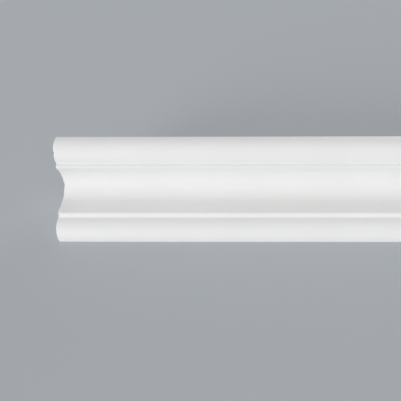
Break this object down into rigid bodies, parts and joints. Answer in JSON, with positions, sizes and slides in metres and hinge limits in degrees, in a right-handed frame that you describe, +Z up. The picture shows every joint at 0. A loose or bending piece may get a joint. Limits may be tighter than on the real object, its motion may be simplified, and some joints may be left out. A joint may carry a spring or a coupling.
{
  "type": "ceiling moulding",
  "caption": "Long white polystyrene foam moulding with a rounded, stepped and coved face, glued into the corner between a wall and a ceiling.",
  "frame": {"origin": "middle of the length, on the resting plane, half way from front to back", "axes": "+X along the length, +Y back out of the ceiling face, +Z up from the wall face it rests on"},
  "size_m": [2, 0.07, 0.07],
  "materials": {
    "foam": "matte"
  },
  "bodies": {
    "root": {"ceiling_moulding": "foam"}
  },
  "joints": []
}
